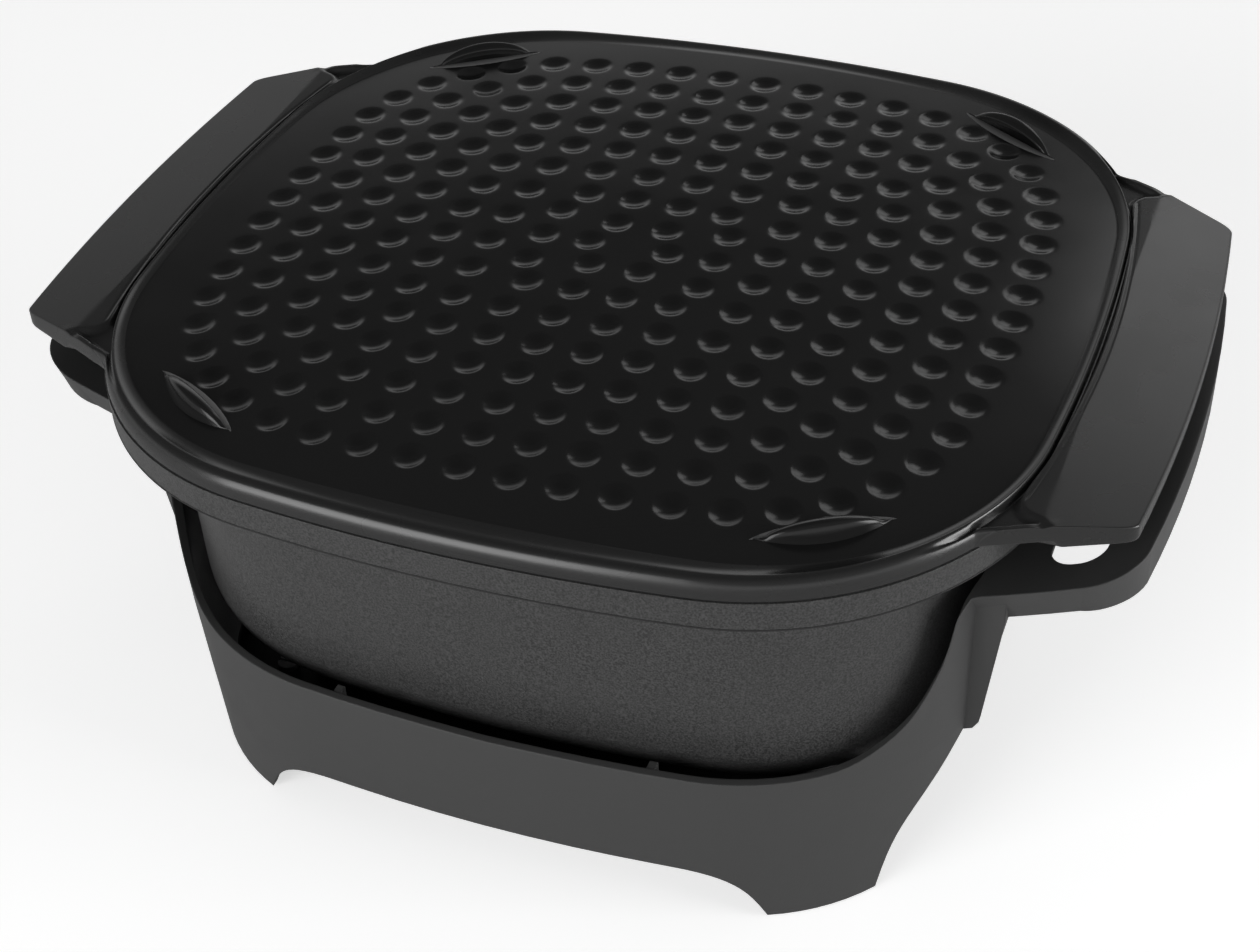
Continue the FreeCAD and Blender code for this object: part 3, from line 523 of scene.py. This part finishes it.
def wing_height(x, y, edge):
    """Top of the wing's side: groove floor, plateau with its fine ridge and valley, and the outer lip."""
    y = np.abs(y)
    a = x - (PLATEAU_X - PLATEAU_BOW * y * y)
    near_x, far_x = PLATEAU_END_X
    step, step_from, step_to = PLATEAU_END_STEP
    b = (PLATEAU_END_Y + PLATEAU_END_SLOPE * (np.minimum(x, far_x) - near_x)
         + step * smoothstep(x, step_from, step_to) - y)
    r = PLATEAU_CORNER
    inside = np.where((a > r) & (b > r), np.minimum(a, b),
                      r - np.hypot(np.clip(r - a, 0, None), np.clip(r - b, 0, None)))
    top = np.minimum(WING_TOP - WING_SLOPE * (x - WING_FALL_X), WING_TOP + WING_TOP_SPARE)
    top = top + (hump(inside, RIDGE) - hump(inside, VALLEY)) * smoothstep(b, *TRIM_FADE)
    most, soft_from, soft_to = FLANK_SOFT
    soft = most * smoothstep(-b, soft_from, soft_to)
    flank = smoothstep(inside, PLATEAU_FLANK[0] - soft, PLATEAU_FLANK[1] + soft)
    z = GROOVE_FLOOR + (top - GROOVE_FLOOR) * flank
    lip = smoothstep((x - edge) * LIP_LEAN, *LIP_BAND) * smoothstep(y, *LIP_Y) * smoothstep(-x, *LIP_X)
    return z + np.clip(GROOVE_FLOOR + LIP_RISE - z, 0.0, None) * lip


def rim_height(d, groove):
    """Rounded bead outside the crest, with the groove that runs out round the corners."""
    t = np.clip((d - BEAD_IN) / (RIM_EDGE - BEAD_IN), 0.0, 1.0)
    z = RIM_TOP + (CREST_TOP - RIM_TOP) * (1.0 - t ** BEAD_POWER) ** (1.0 / BEAD_POWER)
    return z - groove * hump(d, (GROOVE_DEPTH, GROOVE_AT, GROOVE_WIDTH))


def every(ring, share, skips):
    """Ring with fewer samples near the middle."""
    return ring[::next(skip for below, skip in skips if share < below)]


class LidSkin:
    """Rings of the lid's skin: out from the plate's middle, over rim and wings, and back under to the middle."""

    def __init__(self, rim, dimples):
        self.rim, self.dimples, self.rings = rim, dimples, []
        self.start, end_rim = rim.at(GROOVE_AT), rim.at(RIM_EDGE)
        self.y = self.start[:, 1]
        self.sign = np.sign(rim.u[:, 0])
        self.side = np.abs(self.y) < WING_ROOT[1]
        self.reach = np.maximum(np.where(self.side, wing_edge(self.y), 0.0), np.abs(end_rim[:, 0]))
        self.wing = np.where(self.side, smoothstep(self.reach - np.abs(self.start[:, 0]), *WING_START), 0.0)
        self.groove = np.where(self.side, 1.0, smoothstep(-np.abs(self.y), -GROOVE_FADE_Y, -WING_ROOT[1]))
        self.end = self.blend(end_rim, self.beside(self.reach))
        self.plate()
        self.outer_wall(*self.rim_and_wings())

    def add(self, xy, z, mark=RIM_SKIN):
        self.rings.append((xy, z, mark))

    def blend(self, on_rim, on_wing):
        w = self.wing if np.ndim(on_rim) < 2 else self.wing[:, None]
        return on_rim * (1.0 - w) + on_wing * w

    def beside(self, x):
        """Points at a distance from the middle plane, at the samples' own y."""
        return np.column_stack([self.sign * x, self.y])

    def plate(self):
        """Plate, crest and the flank down to the groove."""
        rim = self.rim
        crease, crest = rim.at(rim.inset(CREASE_INSET)), rim.at(rim.inset(CREST_INSET))
        for s in np.linspace(*PLATE_REACH, PLATE_RINGS):
            xy = every(crease, s, PLATE_SKIPS) * s
            self.add(xy, plate_height(xy, self.dimples), PLATE)
        crease_z = plate_height(crease, self.dimples)
        for j in range(1, CREST_STEPS + 1):
            t = j / CREST_STEPS
            z = crease_z * (1.0 - t) + CREST_TOP * t - CREASE_SAG * math.sin(math.pi * t)
            self.add(crease + (crest - crease) * t, z)
        for j in range(1, FLANK_STEPS + 1):
            t = j / FLANK_STEPS
            d = rim.inset(CREST_INSET) * (1.0 - t) + GROOVE_AT * t
            flank = CREST_TOP + (GROOVE_FLOOR - CREST_TOP) * smoothstep(t, *FLANK_BAND)
            self.add(rim.at(d), self.blend(rim_height(d, self.groove), flank))

    def rim_and_wings(self):
        """Bead and wings out to their rounded edge; returns the edge's height, wall and way outwards."""
        run = self.end - self.start
        full = np.hypot(*run.T)
        for j in range(1, RIM_STEPS + 1):
            even = full * (j / RIM_STEPS)
            late = FINE_RUN + (full - FINE_RUN) * (j - FINE_STEPS) / (RIM_STEPS - FINE_STEPS)
            fine = FINE_STEP * j if j <= FINE_STEPS else late
            share = self.blend(even, np.where(full > FINE_LEAST, fine, even)) / full
            xy = self.start + run * share[:, None]
            on_rim = rim_height(GROOVE_AT + (RIM_EDGE - GROOVE_AT) * share, self.groove)
            self.add(xy, self.blend(on_rim, wing_height(np.abs(xy[:, 0]), xy[:, 1], self.reach)))
        edge, z, _ = self.rings[-1]
        outward = run / full[:, None]
        push = outward * self.wing[:, None]
        for angle in EDGE_ANGLES:
            k = math.radians(angle)
            drop = self.blend(RIM_DROP * angle / EDGE_ANGLES[-1], EDGE_ROUND * (1.0 - math.cos(k)))
            self.add(edge + push * (EDGE_ROUND * math.sin(k)), z - drop)
        return z - drop, edge + push * EDGE_ROUND, outward

    def outer_wall(self, edge_z, wall, outward):
        """Wall down from the edge, and the underside: wing hollow, seat, locating lip and plate."""
        fall = WING_LOW - WING_LOW_SLOPE * np.clip(self.reach - WING_FALL_X, 0.0, None) - SEAT
        low = SEAT + fall * smoothstep(self.reach, *WING_LOW_FROM) * self.wing
        for t in WALL_SHARES:
            self.add(wall, edge_z * (1.0 - t) + (low + FOOT_RISE) * t)
        for inward, rise in FOOT_ROUND:
            self.add(wall - outward * inward, low + rise)

        flat = self.rim.at(FLAT_AT)
        x_rim = np.abs(flat[:, 0])
        inner = np.where(self.side, wing_edge(self.y, WING_SKIN), 0.0)
        outer_x = np.maximum(np.minimum(inner, self.reach - WING_LEAST_WALL), x_rim)
        near_x, far_x = (np.minimum(x, outer_x) for x in WING_WALL_X)
        hollow = smoothstep(inner - WING_WALL_X[1], 0.0, ROOF_BLEND) * self.wing
        roof = low + (np.minimum(edge_z, WING_TOP) - WING_SKIN - low) * hollow
        for x, z in ((outer_x, low), (outer_x, roof), (far_x, roof), (far_x, low), (near_x, low), (near_x, SEAT)):
            self.add(self.blend(flat, self.beside(np.maximum(x, x_rim))), z)
        for d, z in ((SEAT_IN, SEAT), (LIP_OUT, SEAT), (LIP_OUT, SEAT - LIP_DROP), (LIP_IN, SEAT - LIP_DROP)):
            self.add(self.rim.at(d), z)
        lip = self.rim.at(LIP_IN)
        self.add(lip, plate_height(lip, self.dimples, SKIN) - SKIN)
        for s in np.linspace(*UNDER_REACH, UNDER_RINGS):
            xy = every(lip, s, UNDER_SKIPS) * s
            self.add(xy, plate_height(xy, self.dimples, SKIN) - SKIN)


def sculpt_lid(finish):
    skin = Grid()
    for xy, z, mark in LidSkin(RimOutline(RING_SAMPLES), dimple_points()).rings:
        skin.ring(xy, z, mark)
    skin.cap(0, PLATE)
    skin.cap(-1, RIM_SKIN)
    piece = skin.build("lid_sculpted", (finish["lid_enamel"], finish["lid_rim"]))
    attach(piece, "lid")
    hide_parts("lid")


def lip_shadow_line(finish):
    """Fine dark bead along the foot of the pot's lip: painted shadow, standing in for the shade in the gap under
    the lip.
    """
    rim = RimOutline(SHADOW_LINE_SAMPLES)
    bead = Grid()
    for d, z in SHADOW_LINE_PROFILE + SHADOW_LINE_PROFILE[:1]:
        bead.ring(rim.at(d), z)
    piece = bead.build("pot_lip_shadow_line", (finish["painted_lip_shadow"],))
    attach(piece, "pot")


def vent_axes():
    """Middle of a vent's plan, its long and its outward direction, and its width."""
    (ax, ay), (bx, by) = VENT_TIPS
    wide = math.hypot(ax - bx, ay - by)
    t = np.array([(ax - bx) / wide, (ay - by) / wide])
    return np.array([(ax + bx) / 2, (ay + by) / 2]), t, np.array([-t[1], t[0]]), wide


def vent_hood(name, sx, sy, finish):
    """Raised hood with a pointed plan; its half-moon mouth faces the plate's middle."""
    mid, t, n, wide = vent_axes()
    a = np.linspace(-1.0, 1.0, VENT_COLUMNS + 1)
    flat = np.zeros_like(a)
    mouth = VENT_MOUTH[0] / wide
    arch = np.clip(1.0 - (a / (mouth + VENT_ARCH_SPREAD)) ** 2, 0.0, None) ** VENT_ARCH_POWER
    high = VENT_TIP_HIGH + (VENT_HIGH - VENT_TIP_HIGH) * arch
    bow = VENT_DEEP * (1.0 - a * a) + VENT_TIP_DEEP
    hollow = VENT_MOUTH_SHARE * VENT_MOUTH[1] * np.clip(1.0 - a * a, 0.0, None) ** VENT_MOUTH_POWER
    points, faces, marks = [], [], []

    def row(along, deep, z):
        start = len(points)
        for ai, b, zi in zip(along, deep, z):
            x, y = mid + t * (ai * wide / 2.0) + n * b
            ground = DOME_TOP - (x * x + y * y) / (2.0 * DOME_R) - VENT_SINK
            points.append((sx * x * MM, sy * y * MM, (ground + zi) * MM))
        return start

    def strips(rows, mark):
        for first, second in zip(rows, rows[1:]):
            for i in range(VENT_COLUMNS):
                faces.append((first + i, first + i + 1, second + i + 1, second + i))
                marks.append(mark)

    hood = [row(a, bow * b, high * z) for b, z in VENT_PROFILE]
    lip_deep, lip_share, lip_sink, lip_least = VENT_LIP
    lip = row(a, flat + lip_deep, np.maximum(lip_share * high - lip_sink, lip_least))
    mouth_edge = row(a * mouth, flat + VENT_FRAME, hollow)
    inside = [row(a * mouth, bow * b, hollow * z) for b, z in VENT_INSIDE]
    broad = np.linspace(-APRON_WIDE, APRON_WIDE, VENT_COLUMNS + 1)
    reach = APRON_DEEP * (1.0 - (broad / APRON_WIDE) ** 2) ** APRON_POWER
    apron = [row(broad, -reach - APRON_EDGE, flat), row(broad, -reach, flat + APRON_HIGH),
             row(broad, flat - APRON_BACK, flat + APRON_HIGH), row(broad, flat, flat)]
    strips(hood, VENT_SKIN)
    strips([hood[0], lip, mouth_edge], VENT_SKIN)
    strips([mouth_edge] + inside, VENT_DARK)
    # apron strip in front of the mouth, coloured light grey as painted reflection
    strips(apron, VENT_APRON_SHEEN)
    mesh = bpy.data.meshes.new(name)
    mesh.from_pydata(points, [], faces)
    materials = (finish["lid_enamel"], finish["vent_dark"], finish["vent_apron_painted_sheen"])
    piece = finish_mesh(mesh, name, materials, marks, VENT_SHARP_ANGLE)
    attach(piece, "lid")


def dress_nodes(finish):
    slots = {s["node"]: s["material_slot"] for s in frame["record"]["subparts"]}
    for name, node in frame["nodes"].items():
        node.data.materials.clear()
        node.data.materials.append(finish[slots[name]])


def add_floor():
    bpy.ops.mesh.primitive_plane_add(size=FLOOR_SIZE, location=(0.0, 0.0, 0.0))
    floor = bpy.context.object
    floor.name = "floor"
    mat = bpy.data.materials.new("floor_paper")
    mat.use_nodes = True
    n = Nodes(mat.node_tree)
    bsdf = mat.node_tree.nodes["Principled BSDF"]
    bsdf.inputs["Base Color"].default_value = FLOOR_COLOUR
    bsdf.inputs["Roughness"].default_value = FLOOR_ROUGHNESS
    glow = n.new("ShaderNodeEmission", Strength=FLOOR_GLOW)
    add = n.new("ShaderNodeAddShader")
    n.link(bsdf.outputs["BSDF"], add.inputs[0])
    n.link(glow.outputs["Emission"], add.inputs[1])
    n.show_camera(bsdf.outputs["BSDF"], add.outputs["Shader"], mat.node_tree.nodes["Material Output"])
    floor.data.materials.append(mat)


def add_sky():
    """Studio round the object, darker overhead and to the left; the camera sees plain white."""
    world = bpy.data.worlds.new("studio")
    bpy.context.scene.world = world
    world.use_nodes = True
    n = Nodes(world.node_tree)
    place = n.new("ShaderNodeTexCoord")
    split = n.new("ShaderNodeSeparateXYZ")
    n.link(place.outputs["Generated"], split.inputs["Vector"])
    ramp = n.new("ShaderNodeValToRGB")
    stops = ramp.color_ramp.elements
    for element, (height, level) in zip(stops, (SKY_STOPS[0], SKY_STOPS[-1])):
        element.position, element.color = height, (level, level, level, 1.0)
    for height, level in SKY_STOPS[1:-1]:
        stops.new(height).color = (level, level, level, 1.0)
    n.link(split.outputs["Z"], ramp.inputs["Fac"])
    dim = n.new("ShaderNodeMapRange", From_Min=LEFT_DIM_FROM, From_Max=LEFT_DIM_TO, To_Min=LEFT_DIM_LEVEL)
    n.link(split.outputs["X"], dim.inputs["Value"])
    shade = n.mix_colour(BLACK, dim.outputs["Result"])
    n.link(ramp.outputs["Color"], shade.inputs["B"])
    back = world.node_tree.nodes["Background"]
    back.inputs["Strength"].default_value = SKY_STRENGTH
    n.link(shade.outputs["Result"], back.inputs["Color"])
    white = n.new("ShaderNodeBackground", Color=WHITE, Strength=1.0)
    n.show_camera(back.outputs["Background"], white.outputs["Background"], world.node_tree.nodes["World Output"])


def add_lamp(name, place, aim, size, watts):
    data = bpy.data.lights.new(name, "AREA")
    data.size = size
    data.energy = watts
    lamp = bpy.data.objects.new(name, data)
    lamp.location = place
    lamp.rotation_euler = (Vector(aim) - Vector(place)).to_track_quat("-Z", "Y").to_euler()
    bpy.context.scene.collection.objects.link(lamp)


def main():
    add_camera()
    finish = finishes()
    dress_nodes(finish)
    sculpt_lid(finish)
    # painted shadow line under the pot's lip
    lip_shadow_line(finish)
    for place, sx, sy in VENT_PLACES:
        vent_hood("vent_hood_" + place, sx, sy, finish)
    add_floor()
    add_sky()
    for lamp in LAMPS:
        add_lamp(*lamp)
    bpy.context.scene.view_settings.view_transform = "Standard"


main()
